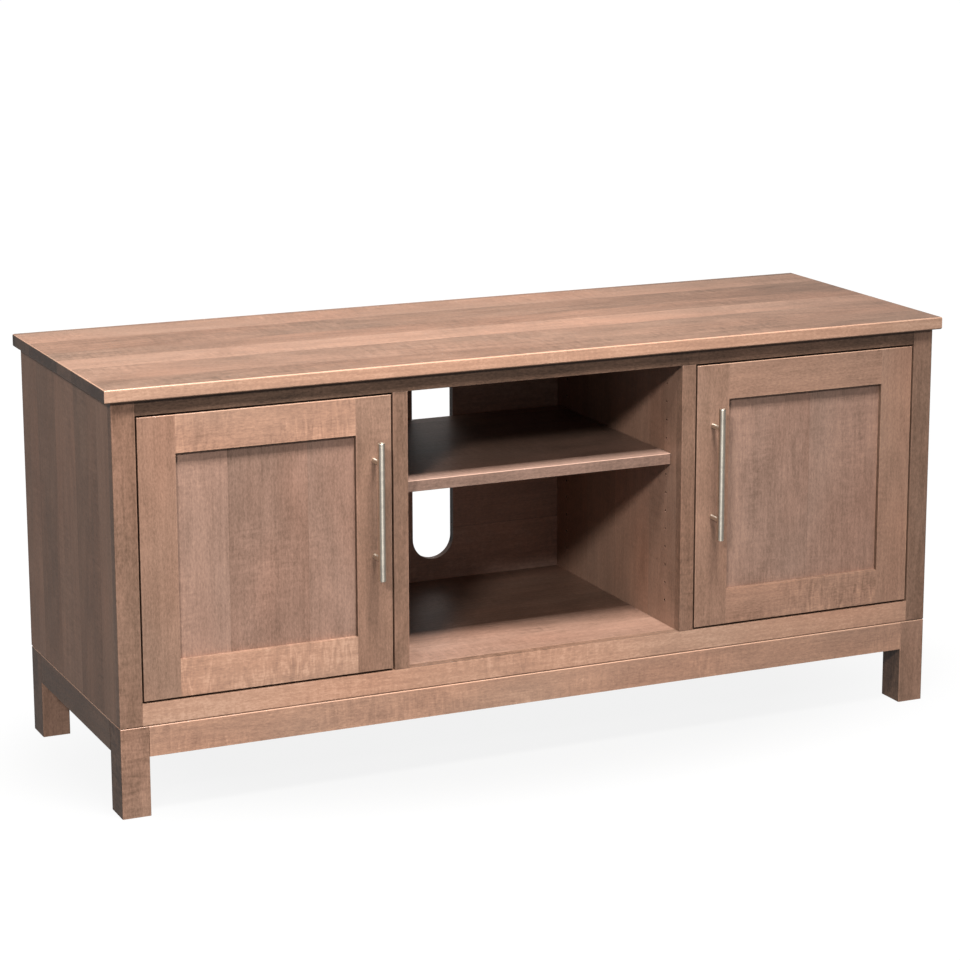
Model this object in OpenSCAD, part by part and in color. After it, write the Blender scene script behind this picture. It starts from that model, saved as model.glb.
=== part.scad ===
// Console television cabinet: a solid-wood case on a low leg frame, with an open centre bay
// on a sliding shelf and an inset framed door on each side.
// X runs along the front, Y runs from the front to the back, Z is up from the floor.
// The origin is on the floor, at the middle of the whole object's box, pulls included.

/* [Overall] */
// Length of the top along the front
top_w = 1524; // [1300:1:1850]
// Depth of the top from front to back
top_d = 525; // [440:1:640]
// Height of the top surface above the floor
total_h = 702; // [580:1:860]
// How far the top stands out past each side of the case
side_overhang = 12.5; // [5:0.5:25]
// How far the top stands out past the front of the case
front_overhang = 10; // [4:0.5:25]
// How far the top stands out past the back of the case
back_overhang = 3; // [1:0.5:10]
// Thickness of the top
top_t = 22; // [18:0.5:30]
// Radius on the long edges of the top
top_edge_r = 3; // [1:0.5:5]

/* [Leg frame] */
// Height of the leg frame, up to the underside of the case
base_h = 150; // [110:1:200]
// Width of a leg along the front
leg_w = 48; // [40:1:70]
// Depth of a leg from front to back
leg_d = 57; // [42:1:80]
// Height of the aprons between the legs
apron_h = 50.8; // [40:0.1:80]
// How much thicker the aprons are than the sides of the case
apron_step = 3; // [1:0.5:8]
// Thickness of the tenons on the aprons
tenon_t = 8; // [6:0.5:10]
// Length of the tenons on the aprons
tenon_l = 18; // [10:0.5:20]
// Shoulder above and below each tenon
tenon_shoulder = 7; // [4:0.5:12]
// Side of the square cleats inside the aprons
cleat_s = 22; // [18:0.5:28]
// Radius on the edges that meet in the shadow groove between case and leg frame
groove_r = 2.5; // [1:0.5:4]

/* [Case] */
// Thickness of the sides, partitions, deck and stretchers
panel_t = 19; // [17:0.5:23]
// Depth of the housings cut in the sides for the deck and stretchers
housing_d = 6; // [3:0.5:8]
// Thickness of the back boards
back_t = 14; // [10:0.5:18]
// Distance from the rear edge of the sides to the back boards
back_inset = 12; // [8:0.5:20]
// Wood left outside the rabbet that holds the back boards
rabbet_wall = 9; // [7:0.5:12]
// Depth of the flat stretchers under the top
stretcher_d = 80; // [60:1:110]
// Width of the bearers under the deck
bearer_w = 60; // [40:1:90]

/* [Back boards] */
// Thickness of the tongues between the back boards
tongue_t = 5; // [4:0.5:6]
// Height of the tongues between the back boards
tongue_h = 6; // [4:0.5:8]
// Room left above each tongue
tongue_play = 1; // [0.5:0.1:2]
// Width of the cable slot through the back of the centre bay
slot_w = 80; // [50:1:120]
// Wood left below and above the cable slot
slot_margin = 40; // [30:1:60]

/* [Face frame] */
// Thickness of the face frame
frame_t = 19; // [16:0.5:24]
// Width of the outer stiles
stile_w = 38; // [32:1:60]
// Width of the mullions beside the centre bay
mullion_w = 26; // [22:1:50]
// Height of the top rail
top_rail_h = 25; // [22:0.5:50]
// Height of the bottom rail
bottom_rail_h = 38; // [32:0.5:60]
// Length of the stub tenons in the face frame
stub_l = 12; // [8:0.5:16]
// Thickness of the stub tenons in the face frame
stub_t = 7; // [5:0.5:9]
// Width of the opening of the centre bay
centre_w = 504; // [420:1:620]
// Radius on the outer edges of the case
case_edge_r = 2; // [1:0.5:3]

/* [Doors] */
// Gap all round a door
door_gap = 3; // [2.8:0.1:4]
// Thickness of the door frames
door_t = 19; // [18:0.5:20]
// Width of the door stiles and rails
door_frame_w = 62; // [54:1:80]
// How deep the door panel lies behind the door's front face
panel_recess = 8; // [5:0.5:9]
// Thickness of the door panel and its groove
door_panel_t = 6; // [5:0.5:7]
// Depth of the groove in the door frame
door_groove_d = 10; // [8:0.5:12]
// Room for the panel to swell at the bottom of its groove
panel_play = 1.5; // [0.5:0.1:3]
// Radius on the outer front edges of a door
door_edge_r = 1.5; // [1:0.5:2]

/* [Shelves] */
// Thickness of the shelves
shelf_t = 19; // [16:0.5:24]
// Room between a shelf and the upright at each end
shelf_play = 1.5; // [1:0.1:3]
// Distance from the case front to the front of the centre shelf
centre_shelf_setback = 38; // [32:1:60]
// Distance from the case front to the front of the shelves behind the doors
side_shelf_setback = 45; // [40:1:70]
// Room left behind every shelf
shelf_rear_gap = 12; // [8:1:40]
// Diameter of the shelf holes
hole_d = 5; // [4.5:0.1:6]
// Depth of the shelf holes
hole_depth = 8; // [6:0.5:8]
// Spacing of the shelf holes up each upright
hole_pitch = 32; // [25:1:32]
// Height of the lowest shelf hole above the deck
first_hole_h = 42; // [30:1:60]
// Least distance from the highest shelf hole to the bottom of the top rail
last_hole_gap = 30; // [20:1:60]
// Distance from the back of the face frame to the front column of holes
hole_front = 37; // [30:1:60]
// Distance from the back boards to the rear column of holes
hole_rear = 40; // [30:1:60]
// Which hole, counted down from the highest, carries the shelves
shelf_hole = 5; // [3:1:7]
// Diameter of the shelf support wires
wire_d = 4; // [3:0.1:4.5]
// Distance from the upright's face to the middle of a support wire
wire_out = 5; // [4:0.5:6]
// Running room around a wire in the groove of a shelf end
wire_play = 0.3; // [0.2:0.1:0.5]

/* [Hinges] */
// Depth of the bore for the hinge cup
cup_depth = 13; // [12:0.5:13]
// Wood between the cup and the edge of the door
cup_edge = 5; // [5:0.5:6]
// Wall of the pressed hinge cup
cup_wall = 0.8; // [0.8:0.1:1]
// Diameter of the hinge pins
hinge_pin_d = 3; // [2.5:0.1:3]
// Radial running clearance of the arm on its pin
pin_clearance = 0.05; // [0.03:0.01:0.08]
// Distance from the door's edge to the hinge pin
pin_in = 17; // [16.5:0.1:17.5]
// Distance from the bottom of the cup's bore to the hinge pin
pin_rise = 4; // [4:0.1:4.3]
// Distance from each end of the door to the middle of the hinge
hinge_inset = 80; // [60:1:120]
// Width of the hinge arm along the pin
arm_w = 12; // [10:0.5:13]
// Thickness of the hinge arm
arm_t = 2.5; // [2:0.1:2.5]

/* [Pulls and catches] */
// Length of a pull bar
pull_l = 230; // [180:1:300]
// Diameter of a pull bar
pull_d = 12; // [10:0.5:14]
// Distance between the two posts of a pull
pull_cc = 160; // [128:1:224]
// How far a pull stands out from the door
pull_projection = 38; // [32:0.5:45]
// Diameter of the pull posts
post_d = 8; // [6:0.5:9]
// Depth of the sockets for the posts in the pull bar
post_socket = 3; // [2:0.5:4]
// Distance from the top of the door to the middle of the pull
pull_drop = 186; // [130:1:230]
// Gap between a catch and the strike plate on the door
catch_gap = 0.3; // [0.2:0.1:0.5]

/* [Hidden] */
$fn = 32;
// How far a cut runs past the surface it opens
eps = 1;
LEFT = -1;
RIGHT = 1;

// Case, measured from the middle of its front face at the floor
case_w = top_w - 2 * side_overhang;
case_d = top_d - front_overhang - back_overhang;
case_top = total_h - top_t;
half_w = case_w / 2;
front_y = (pull_projection - case_d - back_overhang) / 2;
back_front = case_d - back_inset - back_t;
deck_top = base_h + bottom_rail_h;
deck_bottom = deck_top - panel_t;
side_in = half_w - panel_t;
part_in = centre_w / 2;
part_out = part_in + panel_t;
part_mid = part_in + panel_t / 2;
partition_housing = 4;
stretcher_bottom = case_top - panel_t;
leg_in = half_w - leg_w;
apron_t = panel_t + apron_step;
apron_bottom = base_h - apron_h;
back_boards = 4;
board_h = (case_top - base_h) / back_boards;

// Door opening and door
opening_in = part_in + mullion_w;
opening_out = half_w - stile_w;
opening_top = case_top - top_rail_h;
door_in = opening_in + door_gap;
door_out = opening_out - door_gap;
door_bottom = deck_top + door_gap;
door_top = opening_top - door_gap;
panel_in = door_in + door_frame_w;
panel_out = door_out - door_frame_w;
panel_bottom = door_bottom + door_frame_w;
panel_top = door_top - door_frame_w;
panel_lap = door_groove_d - panel_play;

// Shelves and the wires that carry them
hole_y = [frame_t + hole_front, back_front - hole_rear];
hole_rows = 1 + floor((opening_top - last_hole_gap - deck_top - first_hole_h) / hole_pitch);
shelf_mid = deck_top + first_hole_h + (hole_rows - shelf_hole) * hole_pitch;
shelf_edge_r = 1;
shelf_rear = back_front - shelf_rear_gap;
wire_groove_h = wire_d + 2 * wire_play;
wire_groove_d = wire_out + wire_d / 2 + wire_play - shelf_play;
wire_groove_front = hole_y[0] - wire_d / 2 - wire_play;
wire_bend = 4;

// Hinges, measured into the door from its hinge edge and back from its front face
cup_d = 35;
cup_x = cup_edge + cup_d / 2;
cup_floor = door_t - cup_depth;
pin_back = cup_floor + pin_rise;
eye_gap = 0.2;
eye_r = pin_rise - cup_wall - eye_gap;
ear_t = 2;
ear_gap = 0.3;
ear_half = arm_w / 2 + ear_gap + ear_t;
ear_reach = 4;
flange_t = 1.5;
flange_h = 56;
flange_x = [cup_x - 4, cup_x + 20];
cup_screw_x = cup_x + 6;
cup_screw_z = 22.5;
plate_t = 2;
plate_w = stile_w - panel_t - 1;
plate_h = 44;
plate_x = -door_gap - 1;
plate_screw_z = 15;
riser_x = plate_x - 5;
arm_rear = 20.5;
arm_route = [
    [0, 0], [9, 1.5], [15.5, 6], [19, 12.5], [17, 18.5], [8, arm_rear],
    [riser_x - pin_in, arm_rear]
];

// Pulls, catches and strike plates
pull_x = door_in + door_frame_w / 2;
pull_z = door_top - pull_drop;
pull_y = pull_d / 2 - pull_projection;
pull_tip_r = 1;
post_bite = 8;
catch_w = 40;
catch_d = 16;
catch_h = 22;
catch_tab_d = 28;
catch_tab_t = 2.5;
catch_screw_x = 12;
strike_w = 26;
strike_h = 14;
strike_t = 1.2;
strike_pin_d = 3;
strike_pin_l = 8;
strike_drop = 2;
catch_y = door_t + strike_t + catch_gap;

// Fasteners: shank diameter, head diameter, head height, length over all
case_screw = [4.5, 9, 3, 34];
back_screw = [3.5, 7, 2.5, 28];
small_screw = [3, 6, 1.5, 12];
pull_screw = [4, 8, 2, 2 + door_t + post_bite];
screw_margin = 20;
bearer_screw_in = 45;

// Colours
wood = [0.56, 0.41, 0.33];
dark_wood = [0.42, 0.31, 0.25];
pale_wood = [0.66, 0.49, 0.39];
nickel = [0.78, 0.76, 0.72];
steel = [0.55, 0.56, 0.58];
plastic = [0.30, 0.24, 0.20];

// ---------- shared shapes ----------

// Puts case coordinates into the part's own frame
module at_case() {
    translate([0, front_y, 0]) children();
}

// Draws a right-hand piece on the side asked for
module on_side(side) {
    if (side == LEFT) {
        mirror([1, 0, 0]) children();
    } else {
        children();
    }
}

// Draws a right-hand piece on both sides
module both_sides() {
    for (side = [LEFT, RIGHT]) {
        on_side(side) children();
    }
}

// Box between two opposite corners
module block(low, high) {
    translate(low) cube(high - low);
}

// Rectangle with chosen corners rounded, in the order (0,0), (w,0), (w,h), (0,h)
module eased_rect(w, h, r, corners) {
    spots = [[0, 0], [w, 0], [w, h], [0, h]];
    difference() {
        square([w, h]);
        for (i = [0 : 3]) {
            if (corners[i] == 1) {
                translate(spots[i]) rotate(90 * i) difference() {
                    translate([-eps, -eps]) square(r + eps);
                    translate([r, r]) circle(r);
                }
            }
        }
    }
}

// Boards between two opposite corners, with the edges that run along one axis eased
module eased_x(low, high, r, corners) {
    s = high - low;
    translate(low) rotate([90, 0, 90]) linear_extrude(s[0]) eased_rect(s[1], s[2], r, corners);
}

module eased_y(low, high, r, corners) {
    s = high - low;
    translate([low[0], high[1], low[2]]) rotate([90, 0, 0])
        linear_extrude(s[1]) eased_rect(s[0], s[2], r, corners);
}

module eased_z(low, high, r, corners) {
    s = high - low;
    translate(low) linear_extrude(s[2]) eased_rect(s[0], s[1], r, corners);
}

// Round bars that start at a point and run along +X, +Y or +Z
module bar_x(at, d, l) {
    translate(at) rotate([0, 90, 0]) cylinder(d = d, h = l);
}

module bar_y(at, d, l) {
    translate(at) rotate([-90, 0, 0]) cylinder(d = d, h = l);
}

module bar_z(at, d, l) {
    translate(at) cylinder(d = d, h = l);
}

// Screw along +Z from the outer face of its head
module screw(s) {
    cylinder(d = s[1], h = s[2]);
    cylinder(d = s[0], h = s[3]);
}

// Screw that points towards the front of the cabinet
module screw_forward(s) {
    rotate([90, 0, 0]) screw(s);
}

// ---------- where the fasteners go ----------

// Up through the stretchers into the top
module top_screws() {
    both_sides()
        for (x = [part_out + bearer_screw_in, side_in - bearer_screw_in])
            for (y = [frame_t + stretcher_d / 2, back_front - stretcher_d / 2])
                translate([x, y, stretcher_bottom]) screw(case_screw);
}

// Up through the cleats of the leg frame into the bearers
module base_screws() {
    both_sides()
        for (x = [part_mid, side_in - bearer_screw_in])
            for (y = [apron_t + cleat_s / 2, case_d - apron_t - cleat_s / 2])
                translate([x, y, base_h - cleat_s]) screw(case_screw);
}

// Heights of the two screws in each back board, clear of the deck and the stretchers
function board_screw_heights(i) = [
    i == 0 ? deck_top + screw_margin : base_h + i * board_h + screw_margin,
    i == back_boards - 1 ? stretcher_bottom - screw_margin : base_h + (i + 1) * board_h - screw_margin
];

// Through the back boards into the sides and partitions
module board_screws() {
    both_sides()
        for (x = [part_mid, side_in + (panel_t - rabbet_wall) / 2])
            for (i = [0 : back_boards - 1])
                for (z = board_screw_heights(i))
                    translate([x, back_front + back_t, z]) screw_forward(back_screw);
}

// Hinge coordinates: X into the door from its hinge edge, Z from the middle of the hinge
module at_hinges() {
    for (z = [door_bottom + hinge_inset, door_top - hinge_inset]) {
        translate([door_out, 0, z]) mirror([1, 0, 0]) children();
    }
}

module plate_screws() {
    for (z = [-plate_screw_z, plate_screw_z]) {
        translate([plate_x - plate_w / 2, frame_t + plate_t + small_screw[2], z])
            screw_forward(small_screw);
    }
}

module cup_screws() {
    for (z = [-cup_screw_z, cup_screw_z]) {
        translate([cup_screw_x, door_t + flange_t + small_screw[2], z]) screw_forward(small_screw);
    }
}

module pull_screws() {
    for (z = [-pull_cc / 2, pull_cc / 2]) {
        translate([pull_x, door_t + pull_screw[2], pull_z + z]) screw_forward(pull_screw);
    }
}

module catch_screws() {
    for (x = [-catch_screw_x, catch_screw_x]) {
        translate([
            pull_x + x,
            catch_y + (catch_d + catch_tab_d) / 2,
            stretcher_bottom - catch_tab_t - small_screw[2]
        ]) screw(small_screw);
    }
}

// Two columns of shelf holes drilled along +X from a face
module shelf_holes(face) {
    for (y = hole_y) {
        for (row = [0 : hole_rows - 1]) {
            z = deck_top + first_hole_h + row * hole_pitch;
            bar_x([face - eps, y, z], hole_d, hole_depth + eps);
        }
    }
}

// ---------- top and case ----------

module top_panel() {
    low = [-top_w / 2, -front_overhang, case_top];
    high = [top_w / 2, case_d + back_overhang, total_h];
    color(pale_wood) at_case() difference() {
        intersection() {
            eased_x(low, high, top_edge_r, [1, 1, 1, 1]);
            eased_y(low, high, top_edge_r, [1, 1, 1, 1]);
        }
        top_screws();
    }
}

module deck_board() {
    block([-side_in - housing_d, frame_t, deck_bottom], [side_in + housing_d, back_front, deck_top]);
}

module stretcher_boards() {
    for (y = [frame_t, back_front - stretcher_d]) {
        block(
            [-side_in - housing_d, y, stretcher_bottom],
            [side_in + housing_d, y + stretcher_d, case_top]
        );
    }
}

module partition_board() {
    block([part_in, frame_t, deck_top - partition_housing], [part_out, back_front, case_top]);
}

module side_panel(side) {
    color(dark_wood) at_case() on_side(side) difference() {
        eased_y([side_in, frame_t, base_h], [half_w, case_d, case_top], groove_r, [0, 1, 0, 0]);
        block(
            [side_in - eps, back_front, base_h - eps],
            [half_w - rabbet_wall, case_d + eps, case_top + eps]
        );
        deck_board();
        stretcher_boards();
        shelf_holes(side_in);
        board_screws();
    }
}

module left_side_panel() {
    side_panel(LEFT);
}

module right_side_panel() {
    side_panel(RIGHT);
}

module partition(side) {
    color(dark_wood) at_case() on_side(side) difference() {
        partition_board();
        stretcher_boards();
        shelf_holes(part_in);
        translate([part_in + part_out, 0, 0]) mirror([1, 0, 0]) shelf_holes(part_in);
        board_screws();
    }
}

module left_partition() {
    partition(LEFT);
}

module right_partition() {
    partition(RIGHT);
}

module bottom_panel() {
    color(wood) at_case() difference() {
        deck_board();
        both_sides() partition_board();
    }
}

module bottom_bearers() {
    color(dark_wood) at_case() difference() {
        both_sides() {
            for (x = [part_mid - bearer_w / 2, side_in - bearer_w]) {
                block([x, frame_t, base_h], [x + bearer_w, back_front, deck_bottom]);
            }
        }
        base_screws();
    }
}

module top_stretchers() {
    color(dark_wood) at_case() difference() {
        stretcher_boards();
        top_screws();
        both_sides() catch_screws();
    }
}

// ---------- back ----------

// Upright slot with round ends, through every back board
module cable_slot() {
    low = deck_top + slot_margin + slot_w / 2;
    high = case_top - slot_margin - slot_w / 2;
    translate([0, case_d, 0]) rotate([90, 0, 0]) linear_extrude(case_d - back_front + eps) {
        translate([-slot_w / 2, low]) square([slot_w, high - low]);
        translate([0, low]) circle(d = slot_w);
        translate([0, high]) circle(d = slot_w);
    }
}

module back_board(i) {
    w = half_w - rabbet_wall;
    low = base_h + i * board_h;
    tongue_y = back_front + (back_t - tongue_t) / 2;
    color(dark_wood) at_case() difference() {
        union() {
            block([-w, back_front, low], [w, back_front + back_t, low + board_h]);
            if (i < back_boards - 1) {
                block(
                    [-w, tongue_y, low + board_h - eps],
                    [w, tongue_y + tongue_t, low + board_h + tongue_h]
                );
            }
        }
        if (i > 0) {
            block(
                [-w - eps, tongue_y, low - eps],
                [w + eps, tongue_y + tongue_t, low + tongue_h + tongue_play]
            );
        }
        cable_slot();
        board_screws();
    }
}

module back_board_1() {
    back_board(0);
}

module back_board_2() {
    back_board(1);
}

module back_board_3() {
    back_board(2);
}

module back_board_4() {
    back_board(3);
}

// ---------- face frame ----------

// Stub tenons on the ends of the rails, drawn on the right; they also cut their mortises
module rail_stub(low, high) {
    margin = (high - low) / 6;
    y = (frame_t - stub_t) / 2;
    block([opening_out, y, low + margin], [opening_out + stub_l, y + stub_t, high - margin]);
}

// Stub tenons on both ends of a right-hand mullion
module mullion_stubs() {
    margin = mullion_w / 6;
    y = (frame_t - stub_t) / 2;
    for (z = [deck_top - stub_l, opening_top]) {
        block([part_in + margin, y, z], [opening_in - margin, y + stub_t, z + stub_l]);
    }
}

module stile(side) {
    low = [opening_out, 0, base_h];
    high = [half_w, frame_t, case_top];
    color(wood) at_case() on_side(side) difference() {
        intersection() {
            eased_z(low, high, case_edge_r, [0, 1, 0, 0]);
            eased_x(low, high, groove_r, [1, 0, 0, 0]);
            eased_y(low, high, groove_r, [0, 1, 0, 0]);
        }
        rail_stub(base_h, deck_top);
        rail_stub(opening_top, case_top);
        at_hinges() plate_screws();
    }
}

module left_stile() {
    stile(LEFT);
}

module right_stile() {
    stile(RIGHT);
}

module mullion(side) {
    color(wood) at_case() on_side(side) {
        block([part_in, 0, deck_top], [opening_in, frame_t, opening_top]);
        mullion_stubs();
    }
}

module left_mullion() {
    mullion(LEFT);
}

module right_mullion() {
    mullion(RIGHT);
}

module top_rail() {
    color(wood) at_case() difference() {
        union() {
            block([-opening_out, 0, opening_top], [opening_out, frame_t, case_top]);
            both_sides() rail_stub(opening_top, case_top);
        }
        both_sides() mullion_stubs();
    }
}

module bottom_rail() {
    color(wood) at_case() difference() {
        union() {
            eased_x(
                [-opening_out, 0, base_h],
                [opening_out, frame_t, deck_top],
                groove_r,
                [1, 0, 0, 0]
            );
            both_sides() rail_stub(base_h, deck_top);
        }
        both_sides() mullion_stubs();
    }
}

// ---------- leg frame ----------

// Tenons that run along X from the front or rear apron into a right-hand leg
module long_tenon(y) {
    block(
        [leg_in, y + (apron_t - tenon_t) / 2, apron_bottom + tenon_shoulder],
        [leg_in + tenon_l, y + (apron_t + tenon_t) / 2, base_h - tenon_shoulder]
    );
}

// Tenons that run along Y from a right-hand side apron into its legs
module cross_tenons() {
    x = half_w - (apron_t + tenon_t) / 2;
    for (y = [leg_d - tenon_l, case_d - leg_d]) {
        block(
            [x, y, apron_bottom + tenon_shoulder],
            [x + tenon_t, y + tenon_l, base_h - tenon_shoulder]
        );
    }
}

// Leg drawn on the right; its outer edges are eased, and its top meets the shadow groove
module leg(side, y, front) {
    low = [leg_in, y, 0];
    high = [half_w, y + leg_d, base_h];
    color(wood) at_case() on_side(side) difference() {
        intersection() {
            eased_z(low, high, case_edge_r, [1, 1, 1, 1]);
            eased_y(low, high, groove_r, [0, 0, 1, 0]);
            eased_x(low, high, groove_r, front ? [0, 0, 0, 1] : [0, 0, 1, 0]);
        }
        long_tenon(front ? 0 : case_d - apron_t);
        cross_tenons();
    }
}

module front_left_leg() {
    leg(LEFT, 0, true);
}

module front_right_leg() {
    leg(RIGHT, 0, true);
}

module rear_left_leg() {
    leg(LEFT, case_d - leg_d, false);
}

module rear_right_leg() {
    leg(RIGHT, case_d - leg_d, false);
}

module long_apron(y, corners) {
    color(wood) at_case() {
        eased_x([-leg_in, y, apron_bottom], [leg_in, y + apron_t, base_h], groove_r, corners);
        both_sides() long_tenon(y);
    }
}

module front_apron() {
    long_apron(0, [0, 0, 0, 1]);
}

module rear_apron() {
    long_apron(case_d - apron_t, [0, 0, 1, 0]);
}

module side_apron(side) {
    low = [half_w - apron_t, leg_d, apron_bottom];
    high = [half_w, case_d - leg_d, base_h];
    color(wood) at_case() on_side(side) {
        eased_y(low, high, groove_r, [0, 0, 1, 0]);
        cross_tenons();
    }
}

module left_apron() {
    side_apron(LEFT);
}

module right_apron() {
    side_apron(RIGHT);
}

module base_cleats() {
    color(dark_wood) at_case() difference() {
        union() {
            for (y = [apron_t, case_d - apron_t - cleat_s]) {
                block([-leg_in, y, base_h - cleat_s], [leg_in, y + cleat_s, base_h]);
            }
            both_sides() block(
                [half_w - apron_t - cleat_s, leg_d, base_h - cleat_s],
                [half_w - apron_t, case_d - leg_d, base_h]
            );
        }
        base_screws();
    }
}

// ---------- shelves ----------

// Shelf between two uprights, grooved at both ends for its wires
module shelf(left_face, right_face, setback) {
    low = [left_face + shelf_play, setback, shelf_mid - shelf_t / 2];
    high = [right_face - shelf_play, shelf_rear, shelf_mid + shelf_t / 2];
    difference() {
        eased_x(low, high, shelf_edge_r, [1, 0, 0, 1]);
        for (x = [low[0] - eps, high[0] - wire_groove_d]) {
            block(
                [x, wire_groove_front, shelf_mid - wire_groove_h / 2],
                [x + wire_groove_d + eps, shelf_rear + eps, shelf_mid + wire_groove_h / 2]
            );
        }
    }
}

module center_shelf() {
    color(wood) at_case() shelf(-part_in, part_in, centre_shelf_setback);
}

module side_shelf(side) {
    color(wood) at_case() on_side(side) shelf(part_out, side_in, side_shelf_setback);
}

module left_shelf() {
    side_shelf(LEFT);
}

module right_shelf() {
    side_shelf(RIGHT);
}

// Wire plugged into two holes of an upright whose wood starts at face and lies towards +X
module shelf_wire(face) {
    line = face - wire_out;
    for (y = hole_y) {
        bar_x([face, y, shelf_mid], hole_d, hole_depth);
        bar_x([line + wire_bend, y, shelf_mid], wire_d, wire_out - wire_bend);
    }
    bar_y([line, hole_y[0] + wire_bend, shelf_mid], wire_d, hole_y[1] - hole_y[0] - 2 * wire_bend);
    translate([line + wire_bend, hole_y[0] + wire_bend, shelf_mid]) rotate(180) wire_elbow();
    translate([line + wire_bend, hole_y[1] - wire_bend, shelf_mid]) rotate(90) wire_elbow();
}

module wire_elbow() {
    rotate_extrude(angle = 90) translate([wire_bend, 0]) circle(d = wire_d);
}

module shelf_wires() {
    color(steel) at_case() both_sides() {
        shelf_wire(part_in);
        shelf_wire(side_in);
        translate([part_in + part_out, 0, 0]) mirror([1, 0, 0]) shelf_wire(part_in);
    }
}

// ---------- fixed hardware ----------

// Half the arm's thickness, square to its route at point i and mitred with the next length
function arm_side(i) =
    let (
        last = len(arm_route) - 1,
        next = arm_route[min(i + 1, last)] - arm_route[min(i, last - 1)],
        before = arm_route[max(i, 1)] - arm_route[max(i - 1, 0)],
        along = next / norm(next),
        middle = along + before / norm(before)
    )
    [-middle[1], middle[0]] * arm_t / (2 * middle * along);

// Flat strip that follows the arm's route, measured from the pin
module arm_outline() {
    last = len(arm_route) - 1;
    polygon(concat(
        [for (i = [0 : last]) arm_route[i] + arm_side(i)],
        [for (i = [last : -1 : 0]) arm_route[i] - arm_side(i)]
    ));
}

module hinge_arm() {
    difference() {
        union() {
            translate([pin_in, pin_back, -arm_w / 2]) linear_extrude(arm_w) {
                arm_outline();
                circle(eye_r);
            }
            block(
                [riser_x - arm_t / 2, frame_t, -arm_w / 2],
                [riser_x + arm_t / 2, pin_back + arm_rear + arm_t / 2, arm_w / 2]
            );
            block(
                [plate_x - plate_w, frame_t, -plate_h / 2],
                [plate_x, frame_t + plate_t, plate_h / 2]
            );
        }
        bar_z([pin_in, pin_back, -arm_w], hinge_pin_d + 2 * pin_clearance, 2 * arm_w);
        plate_screws();
    }
}

module hinge_arms() {
    color(nickel) at_case() both_sides() at_hinges() hinge_arm();
}

module door_catches() {
    low = [pull_x - catch_w / 2, catch_y, stretcher_bottom - catch_h];
    color(plastic) at_case() both_sides() difference() {
        union() {
            block(low, low + [catch_w, catch_d, catch_h]);
            block(
                low + [0, catch_d - eps, catch_h - catch_tab_t],
                low + [catch_w, catch_tab_d, catch_h]
            );
        }
        catch_screws();
    }
}

module case_screws() {
    color(steel) at_case() {
        top_screws();
        base_screws();
    }
}

module back_screws() {
    color(steel) at_case() board_screws();
}

module hardware_screws() {
    color(steel) at_case() both_sides() {
        at_hinges() plate_screws();
        catch_screws();
    }
}

// ---------- doors, drawn on the right ----------

// Whole thickness of the door, with its outer front edges eased
module door_envelope() {
    low = [door_in, 0, door_bottom];
    high = [door_out, door_t, door_top];
    intersection() {
        eased_z(low, high, door_edge_r, [1, 1, 0, 0]);
        eased_x(low, high, door_edge_r, [1, 0, 0, 1]);
    }
}

// Panel space, with the groove that runs round it
module door_groove() {
    block(
        [panel_in - door_groove_d, panel_recess, door_bottom - eps],
        [panel_out + door_groove_d, panel_recess + door_panel_t, door_top + eps]
    );
}

module strike_plate_solid() {
    z = door_top - strike_drop - strike_h;
    block([pull_x - strike_w / 2, door_t, z], [pull_x + strike_w / 2, door_t + strike_t, z + strike_h]);
    bar_y([pull_x, door_t - strike_pin_l, z + strike_h / 2], strike_pin_d, strike_pin_l + strike_t / 2);
}

module door_hinge_stile(side) {
    color(wood) at_case() on_side(side) difference() {
        intersection() {
            door_envelope();
            block([panel_out, -eps, door_bottom], [door_out, door_t + eps, door_top]);
        }
        door_groove();
        at_hinges() {
            bar_y([cup_x, cup_floor, 0], cup_d, cup_depth + eps);
            cup_screws();
        }
    }
}

module door_pull_stile(side) {
    color(wood) at_case() on_side(side) difference() {
        intersection() {
            door_envelope();
            block([door_in, -eps, door_bottom], [panel_in, door_t + eps, door_top]);
        }
        door_groove();
        pull_screws();
        strike_plate_solid();
    }
}

// Rail between the stiles with its tongues; edge is the height of its panel edge
module door_rail(side, low, high, groove_low) {
    color(pale_wood) at_case() on_side(side) difference() {
        union() {
            intersection() {
                door_envelope();
                block([panel_in, -eps, low], [panel_out, door_t + eps, high]);
            }
            block(
                [panel_in - door_groove_d, panel_recess, low],
                [panel_out + door_groove_d, panel_recess + door_panel_t, high]
            );
        }
        block(
            [panel_in - door_groove_d - eps, panel_recess, groove_low],
            [panel_out + door_groove_d + eps, panel_recess + door_panel_t, groove_low + door_groove_d]
        );
    }
}

module door_top_rail(side) {
    door_rail(side, panel_top, door_top, panel_top);
}

module door_bottom_rail(side) {
    door_rail(side, door_bottom, panel_bottom, panel_bottom - door_groove_d);
}

module door_panel(side) {
    color(wood) at_case() on_side(side) block(
        [panel_in - panel_lap, panel_recess, panel_bottom - panel_lap],
        [panel_out + panel_lap, panel_recess + door_panel_t, panel_top + panel_lap]
    );
}

module hinge_cup() {
    difference() {
        union() {
            difference() {
                union() {
                    bar_y([cup_x, cup_floor, 0], cup_d, cup_depth);
                    block(
                        [flange_x[0], door_t, -flange_h / 2],
                        [flange_x[1], door_t + flange_t, flange_h / 2]
                    );
                }
                bar_y([cup_x, cup_floor + cup_wall, 0], cup_d - 2 * cup_wall, door_t);
            }
            for (z = [-ear_half, ear_half - ear_t]) {
                block(
                    [pin_in - ear_reach, cup_floor + cup_wall / 2, z],
                    [pin_in + ear_reach, pin_back + eye_r, z + ear_t]
                );
            }
        }
        bar_z([pin_in, pin_back, -arm_w], hinge_pin_d, 2 * arm_w);
        cup_screws();
    }
}

module door_hinge_cups(side) {
    color(nickel) at_case() on_side(side) at_hinges() hinge_cup();
}

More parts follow.
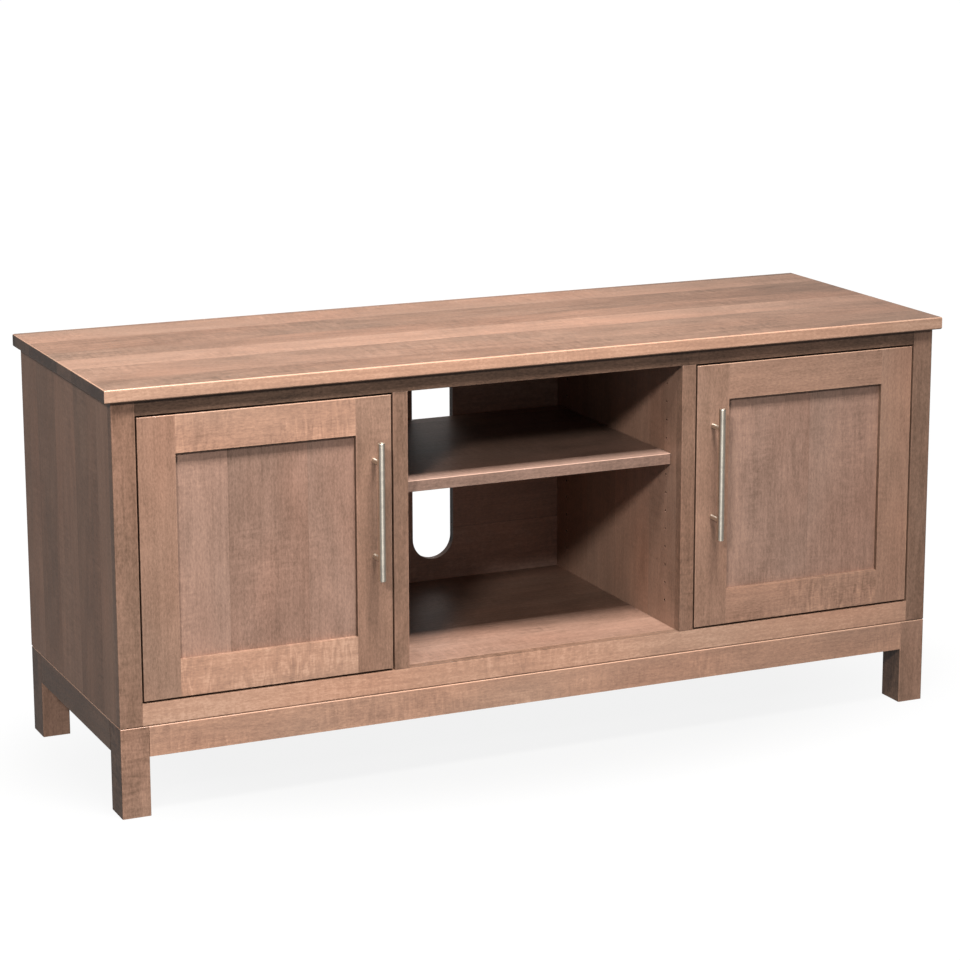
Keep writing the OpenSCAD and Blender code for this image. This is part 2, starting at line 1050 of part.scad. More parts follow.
module door_hinge_pins(side) {
    color(steel) at_case() on_side(side) at_hinges()
        bar_z([pin_in, pin_back, -ear_half], hinge_pin_d, 2 * ear_half);
}

module door_cup_screws(side) {
    color(steel) at_case() on_side(side) at_hinges() cup_screws();
}

// Posts from the door into sockets in the back of the pull bar
module pull_post(z) {
    tip_y = pull_y + pull_d / 2 - post_socket;
    bar_y([pull_x, tip_y, pull_z + z], post_d, -tip_y);
}

module door_pull_bar(side) {
    tip = pull_d / 2 - pull_tip_r;
    color(nickel) at_case() on_side(side) difference() {
        translate([pull_x, pull_y, pull_z - pull_l / 2]) rotate_extrude() {
            difference() {
                square([pull_d / 2, pull_l]);
                translate([tip, 0]) tip_cut();
                translate([tip, pull_l]) mirror([0, 1]) tip_cut();
            }
        }
        pull_post(-pull_cc / 2);
        pull_post(pull_cc / 2);
    }
}

// Corner taken off the end of a pull bar
module tip_cut() {
    difference() {
        translate([0, -eps]) square([pull_tip_r + eps, pull_tip_r + eps]);
        translate([0, pull_tip_r]) circle(pull_tip_r);
    }
}

module door_pull_posts(side) {
    color(nickel) at_case() on_side(side) difference() {
        for (z = [-pull_cc / 2, pull_cc / 2]) {
            pull_post(z);
        }
        pull_screws();
    }
}

module door_pull_screws(side) {
    color(steel) at_case() on_side(side) pull_screws();
}

module door_strike_plate(side) {
    color(steel) at_case() on_side(side) strike_plate_solid();
}

// ---------- each door's own pieces ----------

module left_door_hinge_stile() {
    door_hinge_stile(LEFT);
}

module left_door_pull_stile() {
    door_pull_stile(LEFT);
}

module left_door_top_rail() {
    door_top_rail(LEFT);
}

module left_door_bottom_rail() {
    door_bottom_rail(LEFT);
}

module left_door_panel() {
    door_panel(LEFT);
}

module left_door_hinge_cups() {
    door_hinge_cups(LEFT);
}

module left_door_hinge_pins() {
    door_hinge_pins(LEFT);
}

module left_door_cup_screws() {
    door_cup_screws(LEFT);
}

module left_door_pull_bar() {
    door_pull_bar(LEFT);
}

module left_door_pull_posts() {
    door_pull_posts(LEFT);
}

module left_door_pull_screws() {
    door_pull_screws(LEFT);
}

module left_door_strike_plate() {
    door_strike_plate(LEFT);
}

module right_door_hinge_stile() {
    door_hinge_stile(RIGHT);
}

module right_door_pull_stile() {
    door_pull_stile(RIGHT);
}

module right_door_top_rail() {
    door_top_rail(RIGHT);
}

module right_door_bottom_rail() {
    door_bottom_rail(RIGHT);
}

module right_door_panel() {
    door_panel(RIGHT);
}

module right_door_hinge_cups() {
    door_hinge_cups(RIGHT);
}

module right_door_hinge_pins() {
    door_hinge_pins(RIGHT);
}

module right_door_cup_screws() {
    door_cup_screws(RIGHT);
}

module right_door_pull_bar() {
    door_pull_bar(RIGHT);
}

module right_door_pull_posts() {
    door_pull_posts(RIGHT);
}

module right_door_pull_screws() {
    door_pull_screws(RIGHT);
}

module right_door_strike_plate() {
    door_strike_plate(RIGHT);
}

top_panel();
left_side_panel();
right_side_panel();
left_partition();
right_partition();
bottom_panel();
bottom_bearers();
top_stretchers();
left_stile();
right_stile();
left_mullion();
right_mullion();
top_rail();
bottom_rail();
back_board_1();
back_board_2();
back_board_3();
back_board_4();
front_left_leg();
front_right_leg();
rear_left_leg();
rear_right_leg();
front_apron();
rear_apron();
left_apron();
right_apron();
base_cleats();
left_shelf();
right_shelf();
shelf_wires();
hinge_arms();
door_catches();
case_screws();
back_screws();
hardware_screws();
center_shelf();
left_door_hinge_stile();
left_door_pull_stile();
left_door_top_rail();
left_door_bottom_rail();
left_door_panel();
left_door_hinge_cups();
left_door_hinge_pins();
left_door_cup_screws();
left_door_pull_bar();
left_door_pull_posts();
left_door_pull_screws();
left_door_strike_plate();
right_door_hinge_stile();
right_door_pull_stile();
right_door_top_rail();
right_door_bottom_rail();
right_door_panel();
right_door_hinge_cups();
right_door_hinge_pins();
right_door_cup_screws();
right_door_pull_bar();
right_door_pull_posts();
right_door_pull_screws();
right_door_strike_plate();
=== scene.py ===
"""Looks of the console television cabinet: stained maple, brushed nickel and a pale studio."""
import math
import random

import bpy
from mathutils import Matrix, Vector


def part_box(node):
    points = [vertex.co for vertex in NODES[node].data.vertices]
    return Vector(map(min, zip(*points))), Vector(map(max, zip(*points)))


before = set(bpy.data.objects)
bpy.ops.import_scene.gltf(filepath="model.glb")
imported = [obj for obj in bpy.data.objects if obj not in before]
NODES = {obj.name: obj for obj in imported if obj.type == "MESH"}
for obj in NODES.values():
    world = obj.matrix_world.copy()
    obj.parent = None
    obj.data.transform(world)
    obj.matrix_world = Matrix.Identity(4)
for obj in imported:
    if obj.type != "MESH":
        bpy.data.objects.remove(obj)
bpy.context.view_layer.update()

TAU = 2 * math.pi
X, Y, Z = 0, 1, 2

# ---------- camera ----------

CAMERA_AT = (-2.0294, -4.4762, 1.6090)
CAMERA_AZIMUTH, CAMERA_ELEVATION, CAMERA_ROLL = -25.183, 12.540, 0.0875
CAMERA_LENS = 108.75
CAMERA_SHIFT = (-0.05, -0.05)
SENSOR_WIDTH, FAR_CLIP = 36, 200


def make_camera():
    azimuth, elevation, roll = (math.radians(v) for v in (CAMERA_AZIMUTH, CAMERA_ELEVATION, CAMERA_ROLL))
    back = Vector((
        math.sin(azimuth) * math.cos(elevation),
        -math.cos(azimuth) * math.cos(elevation),
        math.sin(elevation),
    ))
    right = (-back).cross(Vector((0, 0, 1))).normalized()
    up = back.cross(right)
    right, up = (
        right * math.cos(roll) + up * math.sin(roll),
        up * math.cos(roll) - right * math.sin(roll),
    )
    data = bpy.data.cameras.new("camera")
    data.lens = CAMERA_LENS
    data.sensor_width = SENSOR_WIDTH
    data.shift_x, data.shift_y = CAMERA_SHIFT
    data.clip_end = FAR_CLIP
    camera = bpy.data.objects.new("camera", data)
    turn = Matrix((right, up, back)).transposed().to_4x4()
    camera.matrix_world = Matrix.Translation(CAMERA_AT) @ turn
    bpy.context.collection.objects.link(camera)
    bpy.context.scene.camera = camera


# ---------- studio ----------

def area_light(name, at, target, size, power, colour):
    data = bpy.data.lights.new(name, "AREA")
    data.shape = "RECTANGLE"
    data.size, data.size_y = size
    data.energy = power
    data.color = colour
    light = bpy.data.objects.new(name, data)
    light.location = at
    light.rotation_euler = (Vector(target) - Vector(at)).to_track_quat("-Z", "Y").to_euler()
    bpy.context.collection.objects.link(light)
    return light


ROOM_LIGHT, ROOM_SHEEN = 0.17, 0.28
KEY_AT, KEY_AIM, KEY_SIZE, KEY_POWER = (-0.1, -2.14, 5.5), (0, -0.24, 0.68), (1.5, 1.1), 700
FILL_AT, FILL_AIM, FILL_SIZE, FILL_POWER = (-3.1, -3.8, 2.95), (0, -0.1, 0.4), (0.7, 0.5), 180
REAR_AT, REAR_AIM, REAR_SIZE, REAR_POWER = (1.6, 4.6, 1.9), (0.2, 0.3, 0.3), (1.6, 1.2), 70
# The floor glows less near the cabinet: a painted soft shadow on the floor
FLOOR_GLOW_IN_PAINTED_SHADOW, FLOOR_GLOW_FAR = 0.875, 1.0
FLOOR_PAINTED_SHADOW_START, FLOOR_PAINTED_SHADOW_END = 0.5, 1.2
FLOOR_PAINTED_SHADOW_SQUEEZE = (1.0, 2.0, 1.0)
FLOOR_HALF = 40
# Nearest x of the card, its middle y, its height and its reach
FLAG_EDGE, FLAG_MIDDLE, FLAG_HEIGHT, FLAG_SIZE = 0.40, -1, 3.1, 1.6
KEY_COLOUR, FILL_COLOUR = (1.0, 0.97, 0.94), (1.0, 0.98, 0.96)


def make_studio():
    scene = bpy.context.scene
    scene.view_settings.view_transform = "Standard"
    world = bpy.data.worlds.new("studio")
    scene.world = world
    world.use_nodes = True
    tree = world.node_tree
    backdrop = tree.nodes["Background"]
    backdrop.inputs["Color"].default_value = (1, 1, 1, 1)
    rays = node(tree, "ShaderNodeLightPath").outputs
    strength = band(tree, rays["Is Glossy Ray"], 0, 1, ROOM_LIGHT, ROOM_SHEEN)
    room = node(tree, "ShaderNodeBackground", {"Color": (1, 1, 1, 1), "Strength": strength})
    both = node(
        tree, "ShaderNodeMixShader", {0: rays["Is Camera Ray"], 1: room.outputs[0], 2: backdrop.outputs[0]}
    )
    tree.links.new(both.outputs[0], tree.nodes["World Output"].inputs["Surface"])

    area_light("key", KEY_AT, KEY_AIM, KEY_SIZE, KEY_POWER, KEY_COLOUR)
    fill = area_light("side_fill", FILL_AT, FILL_AIM, FILL_SIZE, FILL_POWER, FILL_COLOUR)
    fill.visible_glossy = False
    rear = area_light("rear_fill", REAR_AT, REAR_AIM, REAR_SIZE, REAR_POWER, FILL_COLOUR)
    rear.visible_glossy = False
    make_floor()
    make_flag()


def make_flag():
    """Card hung under the key light that shades the right end of the cabinet softly."""
    mesh = bpy.data.meshes.new("flag")
    sides = ((0, -1), (1, -1), (1, 1), (0, 1))
    mesh.from_pydata(
        [(FLAG_EDGE + x * FLAG_SIZE, y * FLAG_SIZE + FLAG_MIDDLE, FLAG_HEIGHT) for x, y in sides],
        [], [(0, 1, 2, 3)],
    )
    flag = bpy.data.objects.new("flag", mesh)
    bpy.context.collection.objects.link(flag)
    flag.visible_camera = False
    flag.visible_diffuse = False
    flag.visible_glossy = False
    return flag


def make_floor():
    """Pale flat floor whose glow is lower round the cabinet than far from it: a painted soft shadow under and
    around the cabinet.
    """
    mesh = bpy.data.meshes.new("floor")
    mesh.from_pydata(
        [(x * FLOOR_HALF, y * FLOOR_HALF, 0) for x, y in ((-1, -1), (1, -1), (1, 1), (-1, 1))],
        [], [(0, 1, 2, 3)],
    )
    floor = bpy.data.objects.new("floor", mesh)
    bpy.context.collection.objects.link(floor)
    paint = bpy.data.materials.new("floor")
    paint.use_nodes = True
    tree = paint.node_tree
    shader = tree.nodes["Principled BSDF"]
    shader.inputs["Base Color"].default_value = (0.02, 0.02, 0.02, 1)
    shader.inputs["Roughness"].default_value = 0.9
    shader.inputs["Specular IOR Level"].default_value = 0.1
    shader.inputs["Emission Color"].default_value = (1, 1, 1, 1)
    place = node(tree, "ShaderNodeTexCoord").outputs["Object"]
    place = stretch(tree, place, FLOOR_PAINTED_SHADOW_SQUEEZE)
    away = node(tree, "ShaderNodeVectorMath", {0: place}, operation="LENGTH").outputs["Value"]
    floor_glow_with_painted_shadow = band(tree, away, FLOOR_PAINTED_SHADOW_START, FLOOR_PAINTED_SHADOW_END, FLOOR_GLOW_IN_PAINTED_SHADOW, FLOOR_GLOW_FAR)
    tree.links.new(floor_glow_with_painted_shadow, shader.inputs["Emission Strength"])
    mesh.materials.append(paint)
    floor.visible_diffuse = False
    floor.visible_glossy = False
    return floor


# ---------- node helpers ----------

# Colour sockets of a Mix node
MIX_A, MIX_B, MIX_RESULT = 6, 7, 2

def node(tree, kind, inputs=None, **settings):
    made = tree.nodes.new(kind)
    for key, value in settings.items():
        setattr(made, key, value)
    for key, value in (inputs or {}).items():
        if isinstance(value, bpy.types.NodeSocket):
            tree.links.new(value, made.inputs[key])
        else:
            made.inputs[key].default_value = value
    return made


def calc(tree, operation, a, b=0.0, clamp=False):
    return node(tree, "ShaderNodeMath", {0: a, 1: b}, operation=operation, use_clamp=clamp).outputs[0]


def total(tree, *terms):
    """Sum of (socket, factor) pairs."""
    result = None
    for socket, factor in terms:
        term = calc(tree, "MULTIPLY", socket, factor)
        result = term if result is None else calc(tree, "ADD", result, term)
    return result


def stretch(tree, vector, scale):
    return node(tree, "ShaderNodeVectorMath", {0: vector, 1: scale}, operation="MULTIPLY").outputs[0]


def noise(tree, vector, scale, detail=2.0, roughness=0.5, distortion=0.0):
    """Noise between about -0.5 and 0.5."""
    made = node(tree, "ShaderNodeTexNoise", {
        "Vector": stretch(tree, vector, scale), "Scale": 1.0, "Detail": detail,
        "Roughness": roughness, "Distortion": distortion,
    })
    return calc(tree, "SUBTRACT", made.outputs[0], 0.5)


def band(tree, value, start, end, low=0.0, high=1.0):
    made = node(tree, "ShaderNodeMapRange", {
        "Value": value, "From Min": start, "From Max": end, "To Min": low, "To Max": high,
    }, interpolation_type="SMOOTHSTEP")
    return made.outputs[0]


# ---------- wood ----------

# Stain colours from the darkest to the lightest wood
STAIN = (
    (0.00, (0.060, 0.034, 0.023)),
    (0.22, (0.136, 0.079, 0.053)),
    (0.45, (0.236, 0.137, 0.095)),
    (0.65, (0.326, 0.190, 0.134)),
    (0.85, (0.432, 0.250, 0.172)),
    (1.00, (0.530, 0.322, 0.228)),
)

# How much lighter end grain, fine lines between boards, the painted highlight on upward rims and the painted
# shade inside bores are
END_GRAIN, JOINT_LINE, RIM_HIGHLIGHT_PAINT, BORE_PAINTED_SHADE = -0.36, -0.2, 0.9, -0.7
COOL_PATCH, WARM_PATCH = (0.94, 1.02, 1.05), (1.06, 0.98, 0.94)
WOOD_BUMP = {"Strength": 0.55, "Distance": 0.00035}


def board_gaps(tree, place, low, high):
    """Depth under the nearest face of a board, and the distance to the nearest edge along that face."""
    parts = node(tree, "ShaderNodeSeparateXYZ", {0: place})
    a, b, c = (
        calc(
            tree, "MINIMUM",
            calc(tree, "SUBTRACT", parts.outputs[axis], low[axis]),
            calc(tree, "SUBTRACT", high[axis], parts.outputs[axis]),
        )
        for axis in range(3)
    )
    near, far = calc(tree, "MINIMUM", a, b), calc(tree, "MAXIMUM", a, b)
    return calc(tree, "MINIMUM", near, c), calc(tree, "MAXIMUM", near, calc(tree, "MINIMUM", far, c))


def tinted(tree, factor, low, high):
    """Blend of two colours by a factor, as a socket."""
    blend = node(tree, "ShaderNodeMix", {"Factor": factor}, data_type="RGBA")
    blend.inputs[MIX_A].default_value = (*low, 1)
    blend.inputs[MIX_B].default_value = (*high, 1)
    return blend.outputs[MIX_RESULT]


def wood_material(name, grain, across, tone, boards=0.0, board_mix=0.1, figure=0.05, ring=0.05,
                  blotch=0.12, gloss=0.42, edge_wear_and_highlight=0.05, knots=(), painted_facing_light=None, bore_start=0.0012,
                  joint_width=0.0005, hue=(1, 1, 1)):
    """Stained maple. Grain and across are the axes (0, 1, 2) along and across the boards; the per-axis
    settings paint light and shade, making surfaces square to an axis lighter or darker."""
    draw = random.Random(name)
    low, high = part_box(name)
    paint = bpy.data.materials.new("wood_" + name)
    paint.use_nodes = True
    tree = paint.node_tree
    shader = tree.nodes["Principled BSDF"]
    place = node(tree, "ShaderNodeTexCoord")
    parts = node(tree, "ShaderNodeSeparateXYZ", {0: place.outputs["Object"]})
    along, over, deep = (parts.outputs[axis] for axis in (grain, across, 3 - grain - across))

    # Boards of uneven width, each with its own tone and its own piece of the figure
    board_terms, height_terms = [], []
    along = calc(tree, "ADD", along, draw.uniform(0, 40))
    over = calc(tree, "ADD", over, draw.uniform(3, 9))
    if boards:
        settings = {"W": over, "Scale": 1 / boards, "Randomness": 0.55}
        cells = node(tree, "ShaderNodeTexVoronoi", settings, voronoi_dimensions="1D", feature="F1")
        edges = node(
            tree, "ShaderNodeTexVoronoi", settings, voronoi_dimensions="1D", feature="DISTANCE_TO_EDGE"
        )
        cell = node(tree, "ShaderNodeSeparateColor", {0: cells.outputs["Color"]})
        board_tone = calc(tree, "SUBTRACT", cell.outputs[0], 0.5)
        seam = band(tree, edges.outputs["Distance"], 0.0, 0.010, 1.0, 0.0)
        shift = calc(tree, "MULTIPLY", cell.outputs[1], 31.0)
        along = calc(tree, "ADD", along, shift)
        over = calc(tree, "ADD", over, shift)
        board_terms = [(board_tone, 3.2 * board_mix), (seam, -0.06)]
        height_terms = [(seam, -0.5)]
    flow = node(tree, "ShaderNodeCombineXYZ", {
        0: along, 1: over, 2: calc(tree, "ADD", deep, draw.uniform(0, 40)),
    }).outputs[0]

    broad = noise(tree, flow, (1.6, 7, 7), 3, 0.55)
    stain = noise(tree, flow, (8, 16, 16), 4, 0.62, 0.5)
    fibre = noise(tree, flow, (9, 240, 240), 3, 0.6)
    streak = noise(tree, flow, (3.0, 55, 55), 3, 0.6)
    mottle = noise(tree, flow, (150, 330, 330), 3, 0.7)
    pores = band(tree, noise(tree, flow, (90, 1500, 1500), 1), 0.10, 0.26)
    contour = calc(tree, "MULTIPLY", noise(tree, flow, (0.9, 8, 8), 1.5, 0.4), 17.0)
    rings = calc(tree, "SUBTRACT", calc(tree, "PINGPONG", contour, 0.5), 0.25)
    patch = band(tree, noise(tree, flow, (4, 9, 9), 1), -0.08, 0.16)
    curl = calc(tree, "MULTIPLY", noise(tree, flow, (120, 22, 22), 2, 0.6, 0.8), patch)
    shade = total(
        tree, *board_terms, (broad, 0.26), (stain, 3.2 * blotch), (fibre, 0.27), (streak, 0.16),
        (mottle, 0.60), (rings, 1.6 * ring), (curl, 7 * figure), (pores, -0.12),
    )
    shade = calc(tree, "ADD", shade, tone)

    # End grain drinks more stain; the other per-axis settings are painted light and shade, making surfaces
    # lighter or darker by which way they face
    facing = node(tree, "ShaderNodeSeparateXYZ", {0: place.outputs["Normal"]}).outputs
    for axis, change in {grain: END_GRAIN, **(painted_facing_light or {})}.items():
        flat = band(tree, calc(tree, "ABSOLUTE", facing[axis]), 0.75, 0.97)
        shade = total(tree, (shade, 1.0), (flat, change))
        if axis == grain:
            speckle = calc(tree, "MULTIPLY", flat, noise(tree, flow, (500, 420, 420), 2))
            shade = total(tree, (shade, 1.0), (speckle, 0.3))

    # Edges made paler, partly stain rubbed thin and partly a painted highlight, with a stronger painted
    # highlight where they face up, a fine dark line where boards meet, and painted shade inside bores with a
    # painted highlight below
    depth, distance = board_gaps(tree, place.outputs["Object"], low, high)
    near_edge = band(tree, distance, 0.0004, 0.0022, 1.0, 0.0)
    broken = band(tree, noise(tree, flow, (14, 30, 30), 3, 0.6), -0.25, 0.15, 0.35, 1.0)
    rising = band(tree, facing[Z], 0.2, 0.5)
    painted_rim_highlight = calc(tree, "MULTIPLY", rising, band(tree, facing[Z], 0.95, 0.995, 1.0, 0.0))
    painted_rim_highlight = calc(tree, "MULTIPLY", painted_rim_highlight, near_edge)
    joint = band(tree, distance, 0.0, joint_width, 1.0, 0.0)
    bore = band(tree, depth, bore_start, 2.5 * bore_start)
    shade = total(
        tree, (shade, 1.0), (calc(tree, "MULTIPLY", near_edge, broken), edge_wear_and_highlight), (joint, JOINT_LINE),
        (painted_rim_highlight, RIM_HIGHLIGHT_PAINT),
        # Painted shade inside bores, and a painted highlight on their upward-facing lower walls
        (bore, BORE_PAINTED_SHADE), (calc(tree, "MULTIPLY", bore, rising), 0.9),
    )

    # Pin knots with the figure pulled round them
    for at, size in knots:
        centre = node(tree, "ShaderNodeVectorMath", {0: place.outputs["Object"], 1: at}, operation="SUBTRACT")
        squeeze = [1.0, 1.0, 1.0]
        squeeze[grain] = 0.55
        reach = node(
            tree, "ShaderNodeVectorMath", {0: stretch(tree, centre.outputs[0], squeeze)}, operation="LENGTH"
        )
        away = total(tree, (reach.outputs["Value"], 1.0), (stain, 0.02))
        halo = band(tree, away, size, 5 * size, 1.0, 0.0)
        swirl = calc(tree, "SINE", calc(tree, "MULTIPLY", away, TAU / (0.9 * size)))
        core = band(tree, away, 0.2 * size, size, 1.0, 0.0)
        swirl = calc(tree, "MULTIPLY", halo, swirl)
        shade = total(tree, (shade, 1.0), (swirl, 0.035), (core, -0.35), (halo, 0.06))

    ramp = node(tree, "ShaderNodeValToRGB", {0: shade})
    stops = ramp.color_ramp.elements
    while len(stops) < len(STAIN):
        stops.new(0.5)
    for stop, (spot, colour) in zip(stops, STAIN):
        stop.position = spot
        stop.color = (*colour, 1)

    # Some boards and patches are warmer, others greyer
    warmth = calc(tree, "MULTIPLY", noise(tree, flow, (2.5, 6, 6), 2), 1.6)
    cool = [a * b for a, b in zip(hue, COOL_PATCH)]
    warm = [a * b for a, b in zip(hue, WARM_PATCH)]
    tint = tinted(tree, calc(tree, "ADD", warmth, 0.5, clamp=True), cool, warm)
    colour = node(tree, "ShaderNodeMix", data_type="RGBA", blend_type="MULTIPLY")
    colour.inputs["Factor"].default_value = 1.0
    tree.links.new(ramp.outputs["Color"], colour.inputs[MIX_A])
    tree.links.new(tint, colour.inputs[MIX_B])
    tree.links.new(colour.outputs[MIX_RESULT], shader.inputs["Base Color"])

    rough = total(tree, (fibre, 0.16), (stain, 0.10), (pores, 0.12), (near_edge, -0.04), (painted_rim_highlight, -0.24))
    tree.links.new(calc(tree, "ADD", rough, gloss), shader.inputs["Roughness"])
    shader.inputs["Specular IOR Level"].default_value = 0.35
    shader.inputs["Coat Weight"].default_value = 0.12
    shader.inputs["Coat Roughness"].default_value = 0.28
    height = total(
        tree, *height_terms, (fibre, 0.6), (streak, 0.4), (mottle, 0.6), (curl, 0.5), (pores, -0.35)
    )
    bump = node(tree, "ShaderNodeBump", {"Height": height, **WOOD_BUMP})
    tree.links.new(bump.outputs[0], shader.inputs["Normal"])
    return paint


# ---------- metal and plastic ----------

def metal_material(name, colour, rough, axis, contrast):
    """Metal brushed across an axis, so its highlights spread along that axis."""
    paint = bpy.data.materials.new(name)
    paint.use_nodes = True
    tree = paint.node_tree
    shader = tree.nodes["Principled BSDF"]
    place = node(tree, "ShaderNodeTexCoord").outputs["Object"]
    fine, wide, spread = [60.0] * 3, [9.0] * 3, [0.0] * 3
    fine[axis], wide[axis], spread[axis] = 5200.0, 260.0, 1.0
    scratch = noise(tree, place, fine, 2, 0.6)
    smear = noise(tree, place, wide, 3, 0.5)
    handled = noise(tree, place, (40, 40, 40), 3, 0.5)
    mix = total(tree, (scratch, contrast), (smear, contrast), (handled, 0.5 * contrast))
    dull, bright = [0.78 * c for c in colour], [min(1, 1.12 * c) for c in colour]
    colour = tinted(tree, calc(tree, "ADD", mix, 0.5, clamp=True), dull, bright)
    tree.links.new(colour, shader.inputs["Base Color"])
    shader.inputs["Metallic"].default_value = 1.0
    uneven = total(tree, (scratch, 0.14), (smear, 0.10), (handled, 0.10))
    tree.links.new(calc(tree, "ADD", uneven, rough), shader.inputs["Roughness"])
    along = node(tree, "ShaderNodeCombineXYZ", dict(enumerate(spread))).outputs[0]
    tree.links.new(along, shader.inputs["Tangent"])
    shader.inputs["Anisotropic"].default_value = 0.8
    height = total(tree, (scratch, 1.0), (smear, 0.3))
    bump = node(tree, "ShaderNodeBump", {"Height": height, "Strength": 0.25, "Distance": 0.00005})
    tree.links.new(bump.outputs[0], shader.inputs["Normal"])
    return paint


def plastic_material(name, colour):
    paint = bpy.data.materials.new(name)
    paint.use_nodes = True
    tree = paint.node_tree
    shader = tree.nodes["Principled BSDF"]
    place = node(tree, "ShaderNodeTexCoord").outputs["Object"]
    grainy = noise(tree, place, (1800, 1800, 1800), 2)
    cloudy = noise(tree, place, (35, 35, 35), 2)
    mix = calc(tree, "ADD", total(tree, (grainy, 0.5), (cloudy, 0.7)), 0.5, clamp=True)
    colour = tinted(tree, mix, [0.8 * c for c in colour], [1.2 * c for c in colour])
    tree.links.new(colour, shader.inputs["Base Color"])
    tree.links.new(calc(tree, "ADD", total(tree, (grainy, 0.2)), 0.5), shader.inputs["Roughness"])
    bump = node(tree, "ShaderNodeBump", {"Height": grainy, "Strength": 0.3, "Distance": 0.0001})
    tree.links.new(bump.outputs[0], shader.inputs["Normal"])
    return paint


# ---------- who gets what ----------

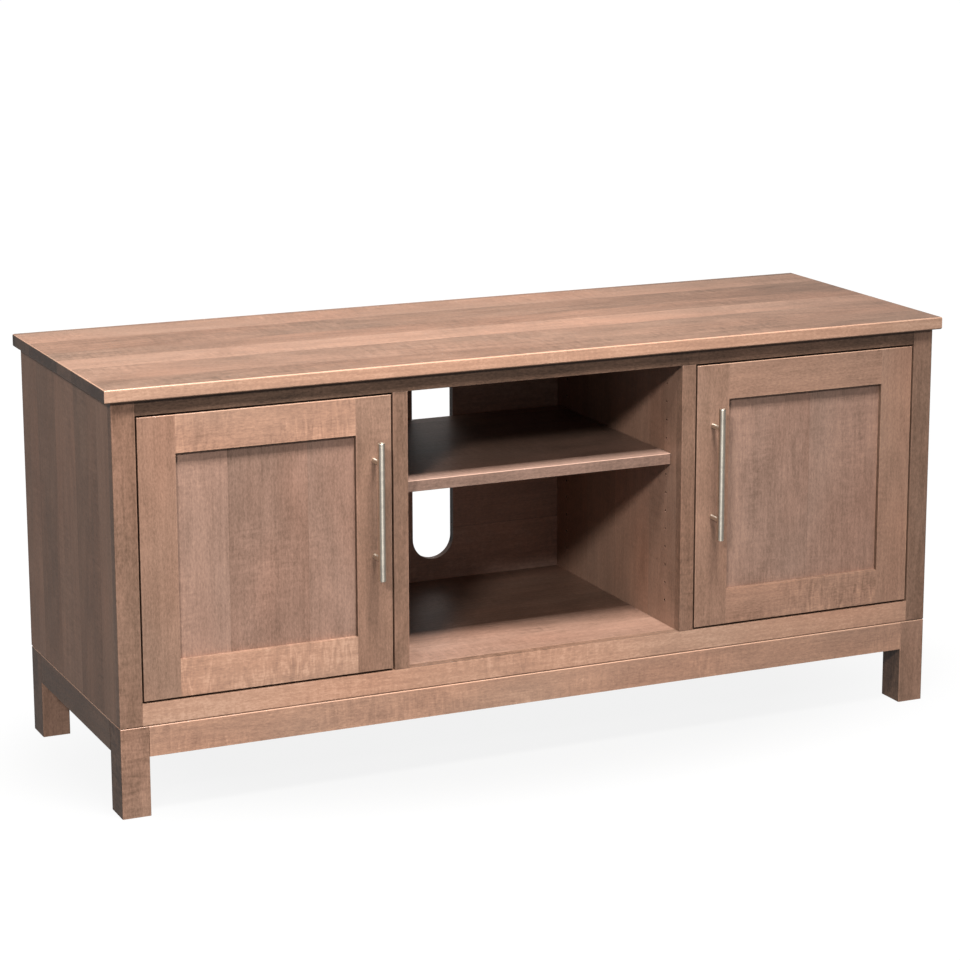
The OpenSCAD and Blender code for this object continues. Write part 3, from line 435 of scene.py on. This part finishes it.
def wood_settings():
    """Grain axis, axis across the boards, tone and other settings for every wooden node."""
    top_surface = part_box("top_panel")[1][Z]
    top_knot = ((0.205, 0.060, top_surface), 0.006)
    # The per-axis surface settings below are painted light and shade: painted light on the front and back of
    # the top; painted shade on the top and bottom of the rails, the front and back of the centre shelf, the
    # sides of legs and stiles, and the door stiles' edges in the gaps
    table = {
        "top_panel": dict(grain=X, across=Y, tone=0.49, boards=0.085, board_mix=0.075, blotch=0.10,
                          figure=0.06, ring=0.10, gloss=0.40, edge_wear_and_highlight=0.12, knots=(top_knot,), painted_facing_light={Y: 0.46}),
        "bottom_panel": dict(grain=X, across=Y, tone=0.40, boards=0.11, ring=0.08, hue=(0.98, 1.0, 1.05)),
        "top_rail": dict(grain=X, across=Z, tone=0.17, edge_wear_and_highlight=0.10),
        "bottom_rail": dict(grain=X, across=Z, tone=0.86, edge_wear_and_highlight=0.10, figure=0.07, painted_facing_light={Z: -0.5}),
        "top_stretchers": dict(grain=X, across=Y, tone=0.36),
        "bottom_bearers": dict(grain=Y, across=X, tone=0.36),
        "base_cleats": dict(grain=X, across=Y, tone=0.36),
        "center_shelf": dict(
            grain=X, across=Y, tone=0.44, boards=0.12, edge_wear_and_highlight=0.10, painted_facing_light={Y: -0.14}, hue=(0.97, 1.02, 1.12)
        ),
    }
    stile_tones = {"left": 0.43, "right": 0.42}
    mullion_tones = {"left": 0.39, "right": 0.36}
    door_tones = {
        "left": dict(hinge_stile=0.56, pull_stile=0.49, top_rail=0.75, bottom_rail=0.84, panel=0.54),
        "right": dict(hinge_stile=0.63, pull_stile=0.56, top_rail=0.62, bottom_rail=0.69, panel=0.61),
    }
    for side in ("left", "right"):
        table[f"{side}_side_panel"] = dict(
            grain=Z, across=Y, tone=0.51, boards=0.11, board_mix=0.05, ring=0.07, gloss=0.5,
            bore_start=0.0003,
        )
        # The partitions' light tone is partly painted light, brightening the shaded interior
        table[f"{side}_partition"] = dict(
            grain=Z, across=Y, tone=0.64, boards=0.12, board_mix=0.05, bore_start=0.0003
        )
        table[f"{side}_stile"] = dict(
            grain=Z, across=X, tone=stile_tones[side], edge_wear_and_highlight=0.14, painted_facing_light={X: -0.12}
        )
        table[f"{side}_mullion"] = dict(grain=Z, across=X, tone=mullion_tones[side], edge_wear_and_highlight=0.10)
        # The end aprons' dark tone is painted shade for the shaded ends of the base
        table[f"{side}_apron"] = dict(grain=Y, across=Z, tone=0.22)
        table[f"{side}_shelf"] = dict(grain=X, across=Y, tone=0.50, boards=0.12)
        door = f"{side}_door_"
        tones = door_tones[side]
        for part in ("hinge_stile", "pull_stile"):
            table[door + part] = dict(
                grain=Z, across=X, tone=tones[part], blotch=0.15, figure=0.05, edge_wear_and_highlight=0.12, painted_facing_light={X: -0.4}
            )
        for part in ("top_rail", "bottom_rail"):
            table[door + part] = dict(
                grain=X, across=Z, tone=tones[part], blotch=0.13, figure=0.13, edge_wear_and_highlight=0.10, painted_facing_light={Z: -0.3}
            )
        table[door + "panel"] = dict(
            grain=Z, across=X, tone=tones["panel"], boards=0.15, board_mix=0.07, blotch=0.15,
            hue=(0.97, 1.01, 1.08),
        )
    for end in ("front", "rear"):
        table[f"{end}_apron"] = dict(grain=X, across=Z, tone=0.74, figure=0.08, edge_wear_and_highlight=0.10)
        for side in ("left", "right"):
            table[f"{end}_{side}_leg"] = dict(
                grain=Z, across=X, tone=0.52, figure=0.09, blotch=0.16, edge_wear_and_highlight=0.10,
                painted_facing_light={X: -0.32},
            )
    for number, tone in enumerate((0.87, 0.80, 0.90, 0.83), 1):
        # The back boards' light tones are partly painted light, brightening the shaded interior
        table[f"back_board_{number}"] = dict(
            grain=X, across=Z, tone=tone, ring=0.08, joint_width=0.003, hue=(0.98, 1.06, 1.20)
        )
    return table


NICKEL = (0.78, 0.72, 0.62)
DOOR_EASE, CASE_EASE = 0.0004, 0.0007
WELD_WITHIN = 0.00001


def put_on(name, paint):
    mesh = NODES[name].data
    mesh.materials.clear()
    mesh.materials.append(paint)


def ease_edges(name, width):
    """Breaks the sharp edges of a wooden piece by a fraction of a millimetre."""
    piece = NODES[name]
    weld = piece.modifiers.new("weld", "WELD")
    weld.merge_threshold = WELD_WITHIN
    bevel = piece.modifiers.new("bevel", "BEVEL")
    bevel.width = width
    bevel.segments = 2
    bevel.limit_method = "ANGLE"
    bevel.angle_limit = math.radians(50)
    bevel.miter_outer = "MITER_ARC"
    bevel.use_clamp_overlap = True
    normals = piece.modifiers.new("normals", "WEIGHTED_NORMAL")
    normals.keep_sharp = False


def dress():
    for name, settings in wood_settings().items():
        put_on(name, wood_material(name, **settings))
        if name.startswith(("left_door", "right_door")):
            ease_edges(name, DOOR_EASE)
        elif not name.endswith(("side_panel", "partition")) and not name.startswith("back"):
            ease_edges(name, CASE_EASE)
    nickel = metal_material("brushed_nickel", NICKEL, 0.46, Z, 0.6)
    post_nickel = metal_material("post_nickel", NICKEL, 0.40, Y, 0.6)
    zinc = metal_material("zinc_steel", (0.50, 0.51, 0.52), 0.36, Y, 0.9)
    brown = plastic_material("brown_plastic", (0.075, 0.048, 0.036))
    for name in NODES:
        if name.endswith(("pull_bar", "hinge_arms", "hinge_cups")):
            put_on(name, nickel)
        elif name.endswith("pull_posts"):
            put_on(name, post_nickel)
        elif name.endswith(("screws", "pins", "wires", "plate")):
            put_on(name, zinc)
        elif name == "door_catches":
            put_on(name, brown)


make_camera()
make_studio()
dress()
